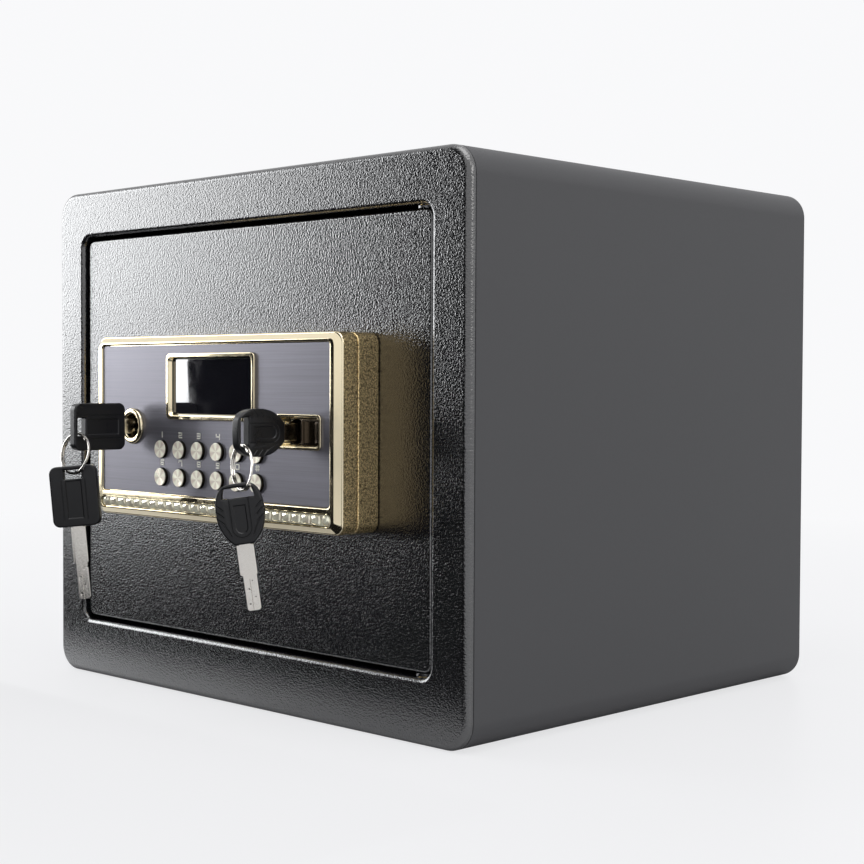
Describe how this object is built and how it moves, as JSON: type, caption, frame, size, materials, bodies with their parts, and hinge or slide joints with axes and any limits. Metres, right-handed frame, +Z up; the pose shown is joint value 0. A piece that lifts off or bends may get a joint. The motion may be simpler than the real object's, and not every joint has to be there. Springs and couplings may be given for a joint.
{
  "type": "electronic home safe",
  "caption": "Compact steel safe with a hinged door, keypad panel with display, stone trim, sliding bolts, shelf, and a main key and an emergency key, each with a spare on a ring.",
  "frame": {"origin": "centre of the cabinet's underside", "axes": "+Z up, the door faces -Y, +X to the right of someone facing the door, on the hinge side"},
  "size_m": [0.354, 0.3813, 0.3],
  "materials": {
    "grained_black": "black powder coat with a fine leather grain, half gloss",
    "smooth_grey": "dark grey powder coat, matt and fine",
    "polished_gold": "pale gold plating, polished",
    "textured_gold": "gold lacquer over an orange-peel texture",
    "gunmetal": "dark gunmetal, brushed sideways",
    "black_plastic": "moulded black plastic, satin",
    "black_glass": "dark display window, gloss",
    "crystal": "cut clear stones on a gold ground",
    "polished_steel": "nickel-plated steel, polished",
    "steel": "turned steel",
    "zinc": "zinc-plated steel",
    "bush": "turned brass",
    "felt": "dark needle felt",
    "circuit_board": "green circuit board"
  },
  "bodies": {
    "cabinet": {"cabinet_wrap": "smooth_grey", "front_frame": "grained_black", "back_plate": "smooth_grey", "floor_mat": "felt", "shelf": "smooth_grey", "hinge_bush_upper": "bush", "hinge_bush_lower": "bush"},
    "door": {"door_pan": "grained_black", "hinge_pin_upper": "steel", "hinge_pin_lower": "steel", "door_back_cover": "smooth_grey", "cover_screw_upper_left": "zinc", "cover_screw_upper_right": "zinc", "cover_screw_lower_left": "zinc", "cover_screw_lower_right": "zinc", "mechanism_plate": "zinc", "solenoid_body": "zinc", "battery_box": "black_plastic", "panel_base": "textured_gold", "panel_bezel": "polished_gold", "stone_strip": "crystal", "faceplate": "gunmetal", "display_bezel": "polished_gold", "display_window": "black_glass", "display_module": "zinc", "control_board": "circuit_board", "emergency_lock_ring": "polished_gold", "emergency_lock_body": "zinc", "main_lock_tray": "polished_gold", "main_lock_body": "zinc"},
    "bolt_carriage": {"drawbar": "zinc", "locking_bolt_upper": "polished_steel", "locking_bolt_lower": "polished_steel"},
    "plunger": {"solenoid_plunger": "steel"},
    "battery_lid": {"battery_lid": "black_plastic"},
    "slide_cover": {"lock_slide_cover": "polished_gold"},
    "main_plug": {"main_lock_plug": "steel"},
    "main_key": {"main_key_blade": "polished_steel", "main_key_bow": "black_plastic"},
    "main_ring": {"main_key_ring": "polished_steel"},
    "spare_main_key": {"spare_main_key_blade": "polished_steel", "spare_main_key_bow": "black_plastic"},
    "emergency_plug": {"emergency_lock_plug": "steel"},
    "emergency_key": {"emergency_key_blade": "polished_steel", "emergency_key_bow": "black_plastic"},
    "emergency_ring": {"emergency_key_ring": "polished_steel"},
    "spare_emergency_key": {"spare_emergency_key_blade": "polished_steel", "spare_emergency_key_bow": "black_plastic"},
    "button_1": {"button_1": "polished_gold"},
    "button_2": {"button_2": "polished_gold"},
    "button_3": {"button_3": "polished_gold"},
    "button_4": {"button_4": "polished_gold"},
    "button_5": {"button_5": "polished_gold"},
    "button_star": {"button_star": "polished_gold"},
    "button_6": {"button_6": "polished_gold"},
    "button_7": {"button_7": "polished_gold"},
    "button_8": {"button_8": "polished_gold"},
    "button_9": {"button_9": "polished_gold"},
    "button_0": {"button_0": "polished_gold"},
    "button_hash": {"button_hash": "polished_gold"}
  },
  "joints": [
    {"name": "door_hinge", "type": "hinge", "parent": "cabinet", "child": "door", "pos_m": [0.1409, -0.1442, 0.153], "axis": [0, 0, 1], "range_deg": [0, 95]},
    {"name": "bolt_slide", "type": "slide", "parent": "door", "child": "bolt_carriage", "axis": [-1, 0, 0], "range_m": [0, 0.014]},
    {"name": "plunger_lift", "type": "slide", "parent": "door", "child": "plunger", "axis": [0, 0, 1], "range_m": [0, 0.004]},
    {"name": "battery_lid_hinge", "type": "hinge", "parent": "door", "child": "battery_lid", "pos_m": [-0.0629, -0.1092, 0.069], "axis": [-1, 0, 0], "range_deg": [0, 95]},
    {"name": "slide_cover_slide", "type": "slide", "parent": "door", "child": "slide_cover", "axis": [-1, 0, 0], "range_m": [0, 0.002]},
    {"name": "main_plug_turn", "type": "hinge", "parent": "door", "child": "main_plug", "pos_m": [0.075, -0.16, 0.1569], "axis": [0, -1, 0], "range_deg": [0, 90]},
    {"name": "emergency_plug_turn", "type": "hinge", "parent": "door", "child": "emergency_plug", "pos_m": [-0.064, -0.16, 0.1569], "axis": [0, 1, 0], "range_deg": [0, 90]},
    {"name": "main_key_withdraw", "type": "slide", "parent": "main_plug", "child": "main_key", "axis": [0, -1, 0], "range_m": [0, 0.045]},
    {"name": "emergency_key_withdraw", "type": "slide", "parent": "emergency_plug", "child": "emergency_key", "axis": [0, -1, 0], "range_m": [0, 0.045]},
    {"name": "main_ring_swing", "type": "hinge", "parent": "main_key", "child": "main_ring", "pos_m": [0.075, -0.21, 0.13946], "axis": [0.2377, 0.9713, 0], "range_deg": [-20, 20]},
    {"name": "spare_main_key_swing", "type": "hinge", "parent": "main_ring", "child": "spare_main_key", "pos_m": [0.075, -0.21, 0.12816], "axis": [0.9713, -0.2377, 0], "range_deg": [-12, 12]},
    {"name": "emergency_ring_swing", "type": "hinge", "parent": "emergency_key", "child": "emergency_ring", "pos_m": [-0.064, -0.21637, 0.14195], "axis": [-0.0849, 0.9827, -0.1646], "range_deg": [-20, 20]},
    {"name": "spare_emergency_key_swing", "type": "hinge", "parent": "emergency_ring", "child": "spare_emergency_key", "pos_m": [-0.064, -0.21823, 0.13081], "axis": [0.9964, 0.0837, -0.014], "range_deg": [-12, 4]},
    {"name": "button_1_press", "type": "slide", "parent": "door", "child": "button_1", "axis": [0, 1, 0], "range_m": [0, 0.0009], "stiffness_N_per_m": 300},
    {"name": "button_2_press", "type": "slide", "parent": "door", "child": "button_2", "axis": [0, 1, 0], "range_m": [0, 0.0009], "stiffness_N_per_m": 300},
    {"name": "button_3_press", "type": "slide", "parent": "door", "child": "button_3", "axis": [0, 1, 0], "range_m": [0, 0.0009], "stiffness_N_per_m": 300},
    {"name": "button_4_press", "type": "slide", "parent": "door", "child": "button_4", "axis": [0, 1, 0], "range_m": [0, 0.0009], "stiffness_N_per_m": 300},
    {"name": "button_5_press", "type": "slide", "parent": "door", "child": "button_5", "axis": [0, 1, 0], "range_m": [0, 0.0009], "stiffness_N_per_m": 300},
    {"name": "button_star_press", "type": "slide", "parent": "door", "child": "button_star", "axis": [0, 1, 0], "range_m": [0, 0.0009], "stiffness_N_per_m": 300},
    {"name": "button_6_press", "type": "slide", "parent": "door", "child": "button_6", "axis": [0, 1, 0], "range_m": [0, 0.0009], "stiffness_N_per_m": 300},
    {"name": "button_7_press", "type": "slide", "parent": "door", "child": "button_7", "axis": [0, 1, 0], "range_m": [0, 0.0009], "stiffness_N_per_m": 300},
    {"name": "button_8_press", "type": "slide", "parent": "door", "child": "button_8", "axis": [0, 1, 0], "range_m": [0, 0.0009], "stiffness_N_per_m": 300},
    {"name": "button_9_press", "type": "slide", "parent": "door", "child": "button_9", "axis": [0, 1, 0], "range_m": [0, 0.0009], "stiffness_N_per_m": 300},
    {"name": "button_0_press", "type": "slide", "parent": "door", "child": "button_0", "axis": [0, 1, 0], "range_m": [0, 0.0009], "stiffness_N_per_m": 300},
    {"name": "button_hash_press", "type": "slide", "parent": "door", "child": "button_hash", "axis": [0, 1, 0], "range_m": [0, 0.0009], "stiffness_N_per_m": 300}
  ],
  "couplings": [
    {"joint": "main_plug_turn", "follows": "bolt_slide", "rad_per_m": 112.2},
    {"joint": "emergency_plug_turn", "follows": "plunger_lift", "rad_per_m": 392.7}
  ]
}
